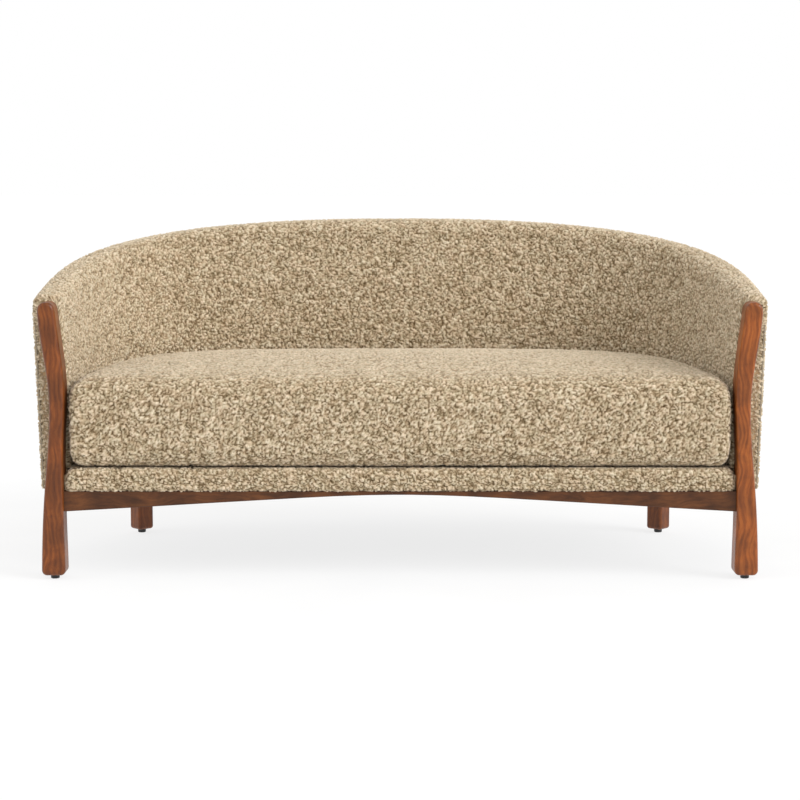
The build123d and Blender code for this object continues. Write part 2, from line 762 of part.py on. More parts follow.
def glides():
    """Levelling glides: a round pad on a threaded stem that screws into an insert in the foot."""
    for place, (x, y) in GLIDE_SPOTS.items():
        with BuildPart() as glide:
            with BuildSketch(Plane(origin=(x, y, 0))):
                Circle(GLIDE_RADIUS)
            extrude(amount=GLIDE_HEIGHT)
            chamfer(glide.edges().group_by(Axis.Z)[0], 1.2)
            with BuildSketch(Plane(origin=(x, y, GLIDE_HEIGHT))):
                Circle(BOLT_RADIUS)
            extrude(amount=STEM_LENGTH - GLIDE_HEIGHT)
        save(glide, f"glide_{place}")
    with BuildPart() as inserts:
        with BuildSketch(Plane.XY.offset(FOOT_Z + 0.5)):
            with Locations(*GLIDE_SPOTS.values()):
                Circle(GLIDE_INSERT_RADIUS)
                Circle(BOLT_RADIUS + BOLT_CLEARANCE, mode=Mode.SUBTRACT)
        extrude(amount=GLIDE_INSERT_LENGTH)
    save(inserts, "glide_inserts")


# ---- springs and deck ----------------------------------------------------------------------------

def base_rail_inner_y(x):
    """Y of the base rail's inner face, behind the seat, at a given x."""
    low = 0.25
    high = 0.5
    for _ in range(40):
        middle = (low + high) / 2
        rail_x, rail_y = foot_point(middle, FRAME_OUT + BASE_RAIL_WIDTH)
        if rail_x < -abs(x):
            low = middle
        else:
            high = middle
    return rail_y


def spring_back_y(x):
    """The last crossing of the zigzag lies in the clip on the base rail's inner edge."""
    return base_rail_inner_y(abs(x) + CLIP_HALF_LENGTH) + 5


def spring_path(x):
    """Zigzag from the front clip to the back clip; its first and last crossings end just past the clips."""
    reach = spring_back_y(x) - SPRING_FRONT_Y
    crossings = int(reach / SPRING_STEP)
    points = []
    for i in range(crossings + 1):
        near = -1 if i % 2 == 0 else 1
        y = SPRING_FRONT_Y + reach * i / crossings
        start = SPRING_HALF_WIDTH if 0 < i < crossings else CLIP_HALF_LENGTH + 4
        end = SPRING_HALF_WIDTH if i < crossings else CLIP_HALF_LENGTH + 4
        points.append((x + near * start, y))
        points.append((x - near * end, y))
    return points


def seat_springs():
    """Zigzag springs from the front rail to the base rail, one wire each."""
    with BuildPart() as springs:
        for x in SPRING_X:
            points = spring_path(x)
            with BuildLine(Plane.XY.offset(SPRING_Z)) as wire:
                FilletPolyline(*points, radius=SPRING_STEP * 0.42)
            start = wire.line @ 0
            with BuildSketch(Plane(origin=start, z_dir=wire.line % 0)):
                Circle(SPRING_WIRE)
            sweep(path=wire.line)
    save(springs, "seat_springs")


def spring_clips(name, y_of, facing):
    """Folded steel clips on the rails; facing is 1 where the clip opens towards the back."""
    with BuildPart() as clips:
        for x in SPRING_X:
            y = y_of(x)
            low = RAIL_TOP_Z + 0.1
            high = SPRING_Z + SPRING_WIRE + 0.4 + CLIP_THICKNESS
            bend = y - facing * (SPRING_WIRE + 0.6 + CLIP_THICKNESS)
            tip = y + facing * CLIP_LIP
            with BuildSketch(Plane.YZ.offset(x - CLIP_HALF_LENGTH)):
                with BuildLine():
                    Polyline(
                        (tip, low), (bend, low), (bend, high), (tip, high),
                        (tip, high - CLIP_THICKNESS),
                        (bend + facing * CLIP_THICKNESS, high - CLIP_THICKNESS),
                        (bend + facing * CLIP_THICKNESS, low + CLIP_THICKNESS),
                        (tip, low + CLIP_THICKNESS), close=True,
                    )
                make_face()
            extrude(amount=2 * CLIP_HALF_LENGTH)
    save(clips, name)


def spring_ties():
    """Two straight tie wires laid across the springs."""
    with BuildPart() as ties:
        for y in TIE_WIRE_Y:
            with BuildSketch(Plane.YZ.offset(-TIE_WIRE_HALF_LENGTH)):
                with Locations((y, SPRING_Z + SPRING_WIRE + TIE_WIRE + 0.4)):
                    Circle(TIE_WIRE)
            extrude(amount=2 * TIE_WIRE_HALF_LENGTH)
    save(ties, "spring_tie_wires")


def inner_plan(clearance, arc):
    """Points of the shell's inner foot line, pulled in by a clearance, from left to right."""
    return [foot_point(f, inner(depth(f), WRAP_LOW_Z) + clearance) for f in arc]


def deck():
    points = inner_plan(1.5, WHOLE_ARC)
    for name, low, thickness in (
        ("deck_pad", DECK_PAD_Z, DECK_PAD_TOP_Z - DECK_PAD_Z),
        ("deck_cloth", DECK_PAD_TOP_Z + 0.2, DECK_CLOTH),
    ):
        with BuildPart() as layer:
            with BuildSketch(Plane.XY.offset(low)):
                with BuildLine():
                    Spline(*points)
                    Line(points[0], points[-1])
                make_face()
            extrude(amount=thickness)
        save(layer, name)


def front_band():
    """Upholstered front edge of the deck: foam strip over the front rail and its fabric."""
    half = APRON_LAND_X - 6
    back = ARM_FRONT_Y - 0.6
    front = FRONT_RAIL_Y - 13
    with BuildPart() as foam:
        with BuildSketch(Plane.YZ.offset(-half)):
            with BuildLine():
                Polyline(
                    (front + 11, DECK_PAD_TOP_Z), (back, DECK_PAD_TOP_Z), (back, DECK_PAD_Z),
                    (FRONT_RAIL_Y - 0.5, DECK_PAD_Z), (FRONT_RAIL_Y - 0.5, RAIL_BOTTOM_Z),
                    (front, RAIL_BOTTOM_Z), (front, DECK_PAD_TOP_Z - 11),
                )
                RadiusArc((front, DECK_PAD_TOP_Z - 11), (front + 11, DECK_PAD_TOP_Z), 11)
            make_face()
        extrude(amount=2 * half)
    save(foam, "front_band_foam")
    inside_y = front - 0.4
    inside_z = DECK_PAD_TOP_Z + 0.4
    with BuildPart() as cover:
        with BuildSketch(Plane.YZ.offset(-half - 1)):
            with BuildLine():
                Polyline(
                    (inside_y + 11, inside_z), (back, inside_z), (back, inside_z + SKIN),
                    (inside_y + 11, inside_z + SKIN),
                )
                RadiusArc((inside_y + 11, inside_z + SKIN), (inside_y - SKIN, inside_z - 11), -11 - SKIN)
                Polyline(
                    (inside_y - SKIN, inside_z - 11), (inside_y - SKIN, RAIL_BOTTOM_Z - 0.3),
                    (inside_y, RAIL_BOTTOM_Z - 0.3), (inside_y, inside_z - 11),
                )
                RadiusArc((inside_y, inside_z - 11), (inside_y + 11, inside_z), 11)
            make_face()
        extrude(amount=2 * half + 2)
    save(cover, "front_band_cover")


def dust_cover():
    """Thin black cloth under the seat, cut out round the back legs."""
    side = 750
    front = FRONT_RAIL_Y + 13
    points = [foot_point(f, 14) for f in PADDED_ARC]
    with BuildPart() as cloth:
        with BuildSketch(Plane.XY.offset(SHELL_BOTTOM_Z - 1.1)):
            with BuildLine():
                Spline(*points)
                Polyline(
                    points[-1], (side, points[-1][1]), (side, front),
                    (-side, front), (-side, points[0][1]), points[0],
                )
            make_face()
        extrude(amount=0.8)
        for leg_side in (-1, 1):
            with BuildSketch(leg_plane(SHELL_BOTTOM_Z - 2, leg_side)):
                RectangleRounded(BACK_LEG_SIDE + 2, BACK_LEG_SIDE + 2, 9)
            extrude(amount=4, mode=Mode.SUBTRACT)
    save(cloth, "dust_cover")


# ---- loose cushion ---------------------------------------------------------------------------------

def cushion_body(inset):
    """Bench cushion, shrunk by inset on every side."""
    points = inner_plan(CUSHION_GAP + inset, PADDED_ARC)
    side_x = -points[0][0]
    front = CUSHION_FRONT_Y + inset
    corner_x = side_x - CUSHION_CORNER
    corner_y = front + CUSHION_CORNER
    with BuildPart() as body:
        with BuildSketch(Plane.XY.offset(CUSHION_BOTTOM_Z + inset)):
            with BuildLine():
                Spline(*points, tangents=[(0, 1), (0, -1)])
                Line(points[-1], (side_x, corner_y))
                RadiusArc((side_x, corner_y), (corner_x, front), CUSHION_CORNER)
                Line((corner_x, front), (-corner_x, front))
                RadiusArc((-corner_x, front), (-side_x, corner_y), CUSHION_CORNER)
                Line((-side_x, corner_y), points[0])
            make_face()
        extrude(amount=CUSHION_TOP_Z - CUSHION_BOTTOM_Z - 2 * inset)
        fillet(body.faces().sort_by(Axis.Z)[-1].edges(), CUSHION_TOP_ROUND - inset)
        fillet(body.faces().sort_by(Axis.Z)[0].edges(), CUSHION_BOTTOM_ROUND - inset)
    return body.part


def seat_cushion():
    """Cover with a zip slot across its back border, the zip in the slot, and the foam core."""
    slot_y = 230
    outside = cushion_body(0)
    inside = cushion_body(COVER_THICKNESS)
    with BuildPart() as cover:
        add(outside)
        add(inside, mode=Mode.SUBTRACT)
        with Locations((0, slot_y, ZIP_Z)):
            Box(ZIP_SLOT_LENGTH, 120, ZIP_SLOT_HEIGHT, mode=Mode.SUBTRACT)
    save(cover, "seat_cushion_cover")
    with BuildPart() as zip_tape:
        add(outside)
        add(inside, mode=Mode.SUBTRACT)
        with Locations((0, slot_y, ZIP_Z)):
            Box(ZIP_SLOT_LENGTH - 0.4, 120, ZIP_SLOT_HEIGHT - 0.4, mode=Mode.INTERSECT)
    save(zip_tape, "cushion_zip")
    with BuildPart() as core:
        add(cushion_body(COVER_THICKNESS + 1))
    save(core, "cushion_core")


inside_back_cover()
outside_back_cover()
back_liner()
back_foam()
base_rail()
top_rail()
back_uprights()
upright_screws()
back_webbing()
front_post()
arm_block()
post_hardware()
front_apron()
front_rail()
corner_blocks()
seat_stretcher()
back_leg_block()
back_leg()
back_leg_hardware()
glides()
seat_springs()
spring_clips("spring_clips_front", lambda x: SPRING_FRONT_Y, 1)
spring_clips("spring_clips_back", spring_back_y, -1)
spring_ties()
deck()
front_band()
dust_cover()
seat_cushion()
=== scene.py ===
import json
import math

import bpy
import numpy as np
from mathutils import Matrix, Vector, noise


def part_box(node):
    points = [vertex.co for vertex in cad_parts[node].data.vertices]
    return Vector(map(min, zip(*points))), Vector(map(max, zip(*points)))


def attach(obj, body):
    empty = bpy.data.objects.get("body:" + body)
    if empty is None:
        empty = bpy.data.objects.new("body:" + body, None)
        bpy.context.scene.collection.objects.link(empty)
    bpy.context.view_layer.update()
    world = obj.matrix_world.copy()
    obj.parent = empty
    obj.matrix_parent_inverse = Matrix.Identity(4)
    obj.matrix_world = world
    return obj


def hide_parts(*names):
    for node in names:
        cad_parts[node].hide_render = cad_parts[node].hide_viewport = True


# Barrel-back sofa in curly boucle with walnut posts and legs. Metres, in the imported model's frame.

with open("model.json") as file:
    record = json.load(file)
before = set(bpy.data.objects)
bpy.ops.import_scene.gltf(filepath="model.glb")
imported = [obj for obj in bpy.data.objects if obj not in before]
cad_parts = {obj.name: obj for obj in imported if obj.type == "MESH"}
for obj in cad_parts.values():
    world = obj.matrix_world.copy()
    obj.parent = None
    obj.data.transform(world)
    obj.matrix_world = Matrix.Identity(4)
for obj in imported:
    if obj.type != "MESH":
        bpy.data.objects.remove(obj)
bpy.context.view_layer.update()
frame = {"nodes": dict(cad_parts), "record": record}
NODES = frame["nodes"]

# ---- driving dimensions of the upholstered shell, the same as the frame's -----------------------

HALF_WIDTH = 0.822
ARM_FRONT_Y = -0.3445
WIDEST_Y = -0.305
BACK_Y = 0.375
PLAN_ROUNDNESS = 3.3
SHELL_BOTTOM_Z = 0.200
ARM_CREST_Z = 0.645
BACK_CREST_Z = 0.795
ARM_THICKNESS = 0.066
BACK_THICKNESS = 0.140
ARM_LEAN = 0.030
BACK_LEAN = 0.045
ARM_RECLINE = 0.019
BACK_RECLINE = 0.075
CREST_ROUNDING = 0.4
CREST_SWEEP = 0.7
SEAM_DROP = 0.062
WRAP_LOW_Z = 0.2505
DECK_PAD_TOP_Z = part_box("deck_pad")[1].z
DECK_TOP_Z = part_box("deck_cloth")[1].z
DECK_LOW_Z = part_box("deck_pad")[0].z
CUSHION_LOW_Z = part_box("seat_cushion_cover")[0].z

# ---- cloth and pile -----------------------------------------------------------------------------

SKIN = 0.0025
GRID = 0.0030
END_ROUND = 0.0105
BOTTOM_ROUND = 0.009
LIP = 0.013
SHELL_LENGTH = 2.43
INSIDE_REACH = 0.72
OUTSIDE_REACH = 0.53
SKIN_ROWS = 14
TUFT_SIZE = 0.0080
TUFT_HEIGHT = 0.0058
TUFT_SINK = 0.36
TUFT_GAP = 0.42
YARN_SIZE = TUFT_SIZE / 2.3
YARN_GAP = 0.5
YARN_SHARE = 0.34
SWIRL_SCALE = 95
SWIRL = 0.0044
SWIRL_SEED = 1
PLAN_POINTS = 8001
SEAM_TUCK = 0.004

# ---- arm facings --------------------------------------------------------------------------------

FACING_POINTS = 330
FACING_RINGS = 9
FACING_REACH = 0.96
FACING_LOW_Z = SHELL_BOTTOM_Z + 0.004
FACING_HALF = 0.028
FACING_TOP_ROOM = 0.012
FACING_SHARE = 0.8
FACING_PROUD = 0.0003
FACING_DEPTH = 0.008

# ---- front band and loose cushion ---------------------------------------------------------------

BAND_SINK = 0.003
BAND_ROUND = 0.015
BAND_END_ROUND = 0.022
BAND_ROWS = 40
BAND_KICK = 0.006
BAND_KICK_HEIGHT = 0.005
BAND_RAIL_GAP = 0.0005
BAND_BACK_BEVEL = 0.001
FOAM_VOXEL = 0.012
CURL_VOXEL = 0.0033
CUSHION_CROWN = 0.017
CUSHION_SWELL = 0.006
CUSHION_EASE = 0.002
CUSHION_SIDE_EASE = 0.007
CUSHION_CORNER = 0.070
CORNER_SQUARENESS = 7
POST_CLEAR_X = 0.7495
POST_CLEAR_DEPTH = 0.012
CLOTH_PRESSURE = 4
CLOTH_STEPS = 20
LIP_SAG = 0.001
LIP_START = 0.075
LIP_EASE = 0.03
LIP_HEIGHT = 0.09
REAR_FILL = 0.009
REAR_FILL_Y = -0.25
REAR_FILL_RUN = 0.40
REAR_FILL_Z = 0.34
REAR_FILL_RISE = 0.11

# ---- sheets under the cushion and under the seat ------------------------------------------------

QUILT_PITCH = 0.15
QUILT_DEPTH = 0.0026
DUST_EDGE_INSET = 0.014
DUST_HALF_WIDTH = 0.75
DUST_FRONT_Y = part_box("dust_cover")[0].y
DUST_LOW_Z, DUST_HIGH_Z = (corner.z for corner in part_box("dust_cover"))
DUST_SAG = 0.005
DUST_SAG_X = 0.78
DUST_SAG_Y = 0.37
DUST_RIPPLE = 0.0006
DUST_RIPPLE_X = 41
DUST_RIPPLE_Y = 17
DUST_ARC_POINTS = 320
DUST_RINGS = 44
DECK_CLEARANCE = 0.002
DECK_ARC_POINTS = 420
DECK_EDGE_PITCH = 0.006
DECK_RINGS = 60


# ---- meshes -------------------------------------------------------------------------------------

def link(name, mesh):
    piece = bpy.data.objects.new(name, mesh)
    bpy.context.scene.collection.objects.link(piece)
    return piece


def signed_volume(points, faces):
    a, b, c, d = (points[faces[:, k]] for k in range(4))
    return np.sum(a * np.cross(b, c)) + np.sum(a * np.cross(c, d))


def loops_mesh(name, loops, pile=None):
    """Closed mesh through a row of closed loops with as many points each; n-gons close its ends."""
    count, size = loops.shape[:2]
    points = loops.reshape(-1, 3)
    row = np.arange(count - 1)[:, None] * size
    here = np.arange(size)[None, :]
    after = (here + 1) % size
    corners = (row + here, row + after, row + size + after, row + size + here)
    faces = np.stack([np.broadcast_to(c, (count - 1, size)) for c in corners], -1).reshape(-1, 4)
    first = list(range(size))[::-1]
    last = list(range((count - 1) * size, count * size))
    if signed_volume(points, faces) < 0:
        faces = faces[:, ::-1]
        first = first[::-1]
        last = last[::-1]
    mesh = bpy.data.meshes.new(name)
    mesh.from_pydata(points.tolist(), [], faces.tolist() + [first, last])
    finish_mesh(mesh, pile)
    return link(name, mesh)


def finish_mesh(mesh, pile=None):
    mesh.validate()
    mesh.shade_smooth()
    if pile is not None:
        layer = mesh.attributes.new("pile", "FLOAT", "POINT")
        layer.data.foreach_set("value", np.ascontiguousarray(pile, dtype=np.float32).ravel())


def tufts(points):
    """Pile height from 0 to 1 at each point: swirled curls in two sizes, deep gaps between them."""
    big = np.empty(len(points))
    small = np.empty(len(points))
    for i, point in enumerate(points.tolist()):
        at = Vector(point)
        at += noise.noise_vector(at * SWIRL_SCALE) * SWIRL
        near = noise.voronoi(at / TUFT_SIZE)[0]
        big[i] = near[1] - near[0]
        near = noise.voronoi(at / YARN_SIZE)[0]
        small[i] = near[1] - near[0]
    big = 1 - (1 - np.clip(big / TUFT_GAP, 0, 1)) ** 2
    small = 1 - (1 - np.clip(small / YARN_GAP, 0, 1)) ** 2
    return np.clip(big * (1 - YARN_SHARE * (1 - small)), 0, 1)


def grid_normals(points):
    """Normals of a grid of points, from its neighbours; the sign is the caller's."""
    along = np.gradient(points, axis=0)
    across = np.gradient(points, axis=1)
    normal = np.cross(along, across)
    return normal / np.maximum(np.linalg.norm(normal, axis=2, keepdims=True), 1e-12)


def raised(points, towards):
    """A grid of surface points raised into tufts, and the tufts' own height at each point."""
    normal = grid_normals(points)
    if np.sum(normal * towards) < 0:
        normal = -normal
    pile = tufts(points.reshape(-1, 3)).reshape(points.shape[:2])
    return points + normal * ((pile - TUFT_SINK) * TUFT_HEIGHT)[:, :, None], pile


def resample(u, z, rows):
    length = np.concatenate([[0], np.cumsum(np.hypot(np.diff(u), np.diff(z)))])
    at = np.linspace(0, length[-1], rows)
    return np.interp(at, length, u), np.interp(at, length, z)


# ---- plan and section of the curved shell -------------------------------------------------------

def outline(columns):
    """Evenly spaced plan points on the outer foot line, left arm to right.

    Returns x, y, the two parts of the inward direction, and the distance from the nearer end.
    """
    turn = np.linspace(0, np.pi, PLAN_POINTS)
    power = 2 / PLAN_ROUNDNESS
    x = -HALF_WIDTH * np.sign(np.cos(turn)) * np.abs(np.cos(turn)) ** power
    y = WIDEST_Y + (BACK_Y - WIDEST_Y) * np.abs(np.sin(turn)) ** power
    x = np.concatenate([[-HALF_WIDTH], x, [HALF_WIDTH]])
    y = np.concatenate([[ARM_FRONT_Y], y, [ARM_FRONT_Y]])
    length = np.concatenate([[0], np.cumsum(np.hypot(np.diff(x), np.diff(y)))])
    at = np.linspace(0, length[-1], columns)
    x = np.interp(at, length, x)
    y = np.interp(at, length, y)
    side = (np.abs(x) / HALF_WIDTH) ** (PLAN_ROUNDNESS - 1) / HALF_WIDTH
    depth = BACK_Y - WIDEST_Y
    rear = (np.maximum(y - WIDEST_Y, 0) / depth) ** (PLAN_ROUNDNESS - 1) / depth
    size = np.hypot(side, rear)
    return x, y, -np.sign(x) * side / size, -rear / size, np.minimum(at, length[-1] - at)


def blend(front, back, s):
    return front + (back - front) * s


def crest(s):
    return blend(ARM_CREST_Z, BACK_CREST_Z, 1 - (1 - min(s, 1)) ** CREST_SWEEP)


def outer(s, z):
    return -blend(ARM_LEAN, BACK_LEAN, s) * (z - SHELL_BOTTOM_Z)


def inner(s, z):
    rise = np.maximum(0, z - DECK_PAD_TOP_Z) / (crest(s) - DECK_PAD_TOP_Z)
    thickness = blend(ARM_THICKNESS, BACK_THICKNESS, s * (1.5 - 0.5 * s))
    return thickness - blend(ARM_RECLINE, BACK_RECLINE, s) * rise**2


def rim_path(s, inset, outer_low, inner_low=WRAP_LOW_Z):
    """Up the inner face, over the rounded crest and down the outer face, inset by a distance."""
    whole = CREST_ROUNDING * (inner(s, crest(s)) - outer(s, crest(s)))
    shoulder = crest(s) - whole
    radius = whole - inset
    inner_centre = inner(s, shoulder) - whole
    outer_centre = outer(s, shoulder) + whole
    rise = np.linspace(inner_low, shoulder, 40)
    turn = np.linspace(0, np.pi / 2, 16)
    u = [
        inner(s, rise) - inset,
        inner_centre + radius * np.cos(turn[1:]),
        outer_centre - radius * np.sin(turn),
        [outer(s, outer_low) + inset],
    ]
    z = [
        rise,
        shoulder + radius * np.sin(turn[1:]),
        shoulder + radius * np.cos(turn),
        [outer_low],
    ]
    return np.concatenate(u), np.concatenate(z)


def flank_path(s, inset, top):
    """Down the outer face and round the bottom edge to the lip under the frame."""
    turn = np.linspace(0, np.pi / 2, 10)[1:]
    centre_z = SHELL_BOTTOM_Z + BOTTOM_ROUND
    centre_u = outer(s, centre_z) + BOTTOM_ROUND
    radius = BOTTOM_ROUND - inset
    drop = np.linspace(top, centre_z, 30)
    u = [outer(s, drop) + inset, centre_u - radius * np.cos(turn), [LIP]]
    z = [drop, centre_z - radius * np.sin(turn), [SHELL_BOTTOM_Z + inset]]
    return np.concatenate(u), np.concatenate(z)


def end_inset(distance):
    """How far the cloth turns in at the arm's front, so that the arm's edge is soft."""
    short = np.clip(END_ROUND - distance, 0, END_ROUND)
    return END_ROUND - math.sqrt(END_ROUND**2 - short**2)


def shell_piece(name, path, reach):
    """Cloth bent round the shell: path(s, inset) draws its section, its back lies a skin deeper."""
    columns = int(SHELL_LENGTH / GRID)
    rows = int(reach / GRID)
    x, y, in_x, in_y, distance = outline(columns)
    face = np.empty((columns, rows, 3))
    back = np.empty((columns, SKIN_ROWS, 3))
    for j in range(columns):
        s = (y[j] - ARM_FRONT_Y) / (BACK_Y - ARM_FRONT_Y)
        turned = end_inset(distance[j])
        for target, inset, count in ((face, turned, rows), (back, turned + SKIN, SKIN_ROWS)):
            u, z = resample(*path(s, inset), count)
            target[j] = np.stack([x[j] + in_x[j] * u, y[j] + in_y[j] * u, z], -1)
    towards = face - back[:, np.linspace(0, SKIN_ROWS - 1, rows).astype(int)]
    face, pile = raised(face, towards)
    loops = np.concatenate([face, back[:, ::-1]], axis=1)
    pile = np.concatenate([pile, np.zeros((columns, SKIN_ROWS))], axis=1)
    return loops_mesh(name, loops, pile)


def inside_back():
    """Cloth of the inside back and arms, wrapped over the crest to the seam on the outer face."""
    def path(s, inset):
        return rim_path(s, inset, crest(s) - SEAM_DROP)
    return shell_piece("inside_back_boucle", path, INSIDE_REACH)


def outside_back():
    """Cloth of the outside back and arms, tucked a little way under the seam of the inside one."""
    def path(s, inset):
        return flank_path(s, inset, crest(s) - SEAM_DROP + SEAM_TUCK)
    return shell_piece("outside_back_boucle", path, OUTSIDE_REACH)


# ---- arm facings, front band, deck and dust cover -----------------------------------------------

def arm_facing(side):
    """Padded panel that closes the arm's front; the post is bolted over it."""
    u, z = rim_path(0, END_ROUND * FACING_SHARE, FACING_LOW_Z, FACING_LOW_Z)
    u = np.append(u, u[0])
    z = np.append(z, z[0])
    u, z = resample(u, z, FACING_POINTS + 1)
    edge = np.stack([u[:-1], z[:-1]], -1)
    spine_top = ARM_CREST_Z - FACING_HALF - FACING_TOP_ROOM
    spine_z = np.clip(edge[:, 1], SHELL_BOTTOM_Z + FACING_HALF, spine_top)
    spine_u = (inner(0, spine_z) + outer(0, spine_z)) / 2
    spine = np.stack([spine_u, spine_z], -1)
    shares = np.linspace(0, FACING_REACH, FACING_RINGS)[:, None, None]
    flat = edge[None] + (spine - edge)[None] * shares
    depth = np.full(flat.shape[:2], ARM_FRONT_Y - FACING_PROUD)
    face = np.stack([side * (HALF_WIDTH - flat[:, :, 0]), depth, flat[:, :, 1]], -1)
    face, pile = raised(face, np.array([0.0, -1.0, 0.0]))
    rear_y = np.full(FACING_POINTS, ARM_FRONT_Y + FACING_DEPTH)
    rear = np.stack([side * (HALF_WIDTH - edge[:, 0]), rear_y, edge[:, 1]], -1)
    loops = np.concatenate([rear[None], face])
    pile = np.concatenate([np.zeros((1, FACING_POINTS)), pile])
    return loops_mesh(f"arm_facing_{'left' if side < 0 else 'right'}", loops, pile)


def front_band():
    """Padded front edge of the deck: a long bar over the front rail, rounded at its ends."""
    low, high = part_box("front_band_cover")
    rail_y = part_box("seat_front_rail")[0].y - BAND_RAIL_GAP
    columns = int((high.x - low.x) / GRID)
    xs = np.linspace(low.x, high.x, columns)
    turn = np.linspace(0, np.pi / 2, 12)
    face = np.empty((columns, BAND_ROWS, 3))
    back = np.empty((columns, 4, 3))
    for j, x in enumerate(xs):
        short = np.clip(BAND_END_ROUND - min(x - low.x, high.x - x), 0, BAND_END_ROUND)
        turned = BAND_END_ROUND - math.sqrt(BAND_END_ROUND**2 - short**2)
        front = low.y + turned * 0.5
        top = high.z - BAND_SINK - turned
        round_y = front + BAND_ROUND * (1 - np.sin(turn))
        round_z = top - BAND_ROUND * (1 - np.cos(turn))
        y = np.concatenate([[high.y], round_y, [front, front + BAND_KICK]])
        z = np.concatenate([[top], round_z, [low.z + BAND_KICK_HEIGHT, low.z]])
        y, z = resample(y, z, BAND_ROWS)
        face[j] = np.stack([np.full(BAND_ROWS, x), y, z], -1)
        back[j] = [
            (x, rail_y, low.z),
            (x, rail_y, DECK_LOW_Z),
            (x, high.y - BAND_BACK_BEVEL, DECK_LOW_Z),
            (x, high.y, DECK_LOW_Z + BAND_BACK_BEVEL),
        ]
    towards = face - np.array([0.0, high.y, low.z])
    towards[:, :, 0] = 0
    face, pile = raised(face, towards)
    loops = np.concatenate([face, back], axis=1)
    pile = np.concatenate([pile, np.zeros((columns, 4))], axis=1)
    return loops_mesh("front_band_padding", loops, pile)


def inner_plan(clearance, count):
    """Arc round the seat opening at deck height, from one arm to the other."""
    x, y, in_x, in_y, _ = outline(count)
    shares = (y - ARM_FRONT_Y) / (BACK_Y - ARM_FRONT_Y)
    inset = np.array([inner(s, WRAP_LOW_Z) for s in shares]) + clearance
    return np.stack([x + in_x * inset, y + in_y * inset], -1)


def ringed(name, edge, rings, low, top_of, middle_y, half_length):
    """Slab over a plan loop: top_of(x, y) gives its shaped face's height, low its flat face's."""
    spine_x = np.clip(edge[:, 0], -half_length, half_length)
    spine = np.stack([spine_x, np.full(len(edge), middle_y)], -1)
    shares = np.linspace(0, 0.985, rings)[:, None, None]
    flat = edge[None] + (spine - edge)[None] * shares
    face = np.concatenate([flat, top_of(flat[:, :, 0], flat[:, :, 1])[:, :, None]], -1)
    under = np.concatenate([edge, np.full((len(edge), 1), low)], -1)
    return loops_mesh(name, np.concatenate([under[None], face]))


def with_front(arc, spacing):
    """The arc's points with a straight front edge added, as one closed loop."""
    steps = int(np.linalg.norm(arc[-1] - arc[0]) / spacing)
    share = np.linspace(0, 1, steps + 2)[1:-1, None]
    return np.concatenate([arc, arc[-1] + (arc[0] - arc[-1]) * share])


def deck_top(x, y):
    """Slightly quilted top of the deck pad, drawn down along a few rows of stitches."""
    across = np.abs(np.sin((x + QUILT_PITCH / 2) * np.pi / QUILT_PITCH))
    along = np.abs(np.sin((y + QUILT_PITCH / 3) * np.pi / QUILT_PITCH))
    return DECK_TOP_Z - QUILT_DEPTH * (1 - across * along) ** 6


def deck():
    """Padded platform that the cushion lies on."""
    edge = with_front(inner_plan(DECK_CLEARANCE, DECK_ARC_POINTS), DECK_EDGE_PITCH)
    middle = {"middle_y": -0.06, "half_length": 0.45}
    return ringed("deck_padding", edge, DECK_RINGS, DECK_LOW_Z, deck_top, **middle)


def dust_cover():
    """Black cloth stapled under the seat frame; it sags a little between its fixings.

    Returns the piece, its flat size and its flat area.
    """
    x, y, in_x, in_y, _ = outline(DUST_ARC_POINTS)
    arc = np.stack([x + in_x * DUST_EDGE_INSET, y + in_y * DUST_EDGE_INSET], -1)
    arc = arc[arc[:, 1] > ARM_FRONT_Y + 0.05]
    front = np.array([[DUST_HALF_WIDTH, arc[-1, 1]], [DUST_HALF_WIDTH, DUST_FRONT_Y]])
    rear = front[::-1] * np.array([-1, 1])
    steps = np.linspace(0, 1, 120)[:, None]
    edge = np.concatenate([arc, front, front[1] + (rear[0] - front[1]) * steps[1:-1], rear])

    def sag(px, py):
        reach_x = np.clip(1 - (px / DUST_SAG_X) ** 4, 0, 1)
        reach = reach_x * np.clip(1 - (py / DUST_SAG_Y) ** 2, 0, 1)
        phase = px * DUST_RIPPLE_X + 3 * np.sin(py * DUST_RIPPLE_Y)
        ripples = DUST_RIPPLE * np.sin(phase) * reach
        return DUST_LOW_Z - DUST_SAG * reach - ripples

    middle = {"middle_y": -0.02, "half_length": 0.5}
    piece = ringed("dust_cover_cloth", edge, DUST_RINGS, DUST_HIGH_Z, sag, **middle)
    after = np.roll(edge, -1, axis=0)
    area = 0.5 * abs(np.sum(edge[:, 0] * after[:, 1] - edge[:, 1] * after[:, 0]))
    size = edge.max(0) - edge.min(0)
    return piece, (float(size[0]), float(size[1])), float(area)


# ---- loose cushion ------------------------------------------------------------------------------

def applied(piece, *modifiers):
    """Runs modifiers given as (type, settings) on a piece and keeps the result."""
    for kind, settings in modifiers:
        modifier = piece.modifiers.new(kind.title(), kind)
        for key, value in settings.items():
            setattr(modifier, key, value)
    graph = bpy.context.evaluated_depsgraph_get()
    mesh = bpy.data.meshes.new_from_object(piece.evaluated_get(graph))
    piece.modifiers.clear()
    piece.data = mesh


def coordinates(mesh, what="co"):
    values = np.empty(len(mesh.vertices) * 3)
    mesh.vertices.foreach_get(what, values)
    return values.reshape(-1, 3)


def set_coordinates(mesh, points):
    mesh.vertices.foreach_set("co", points.ravel())
    mesh.update()


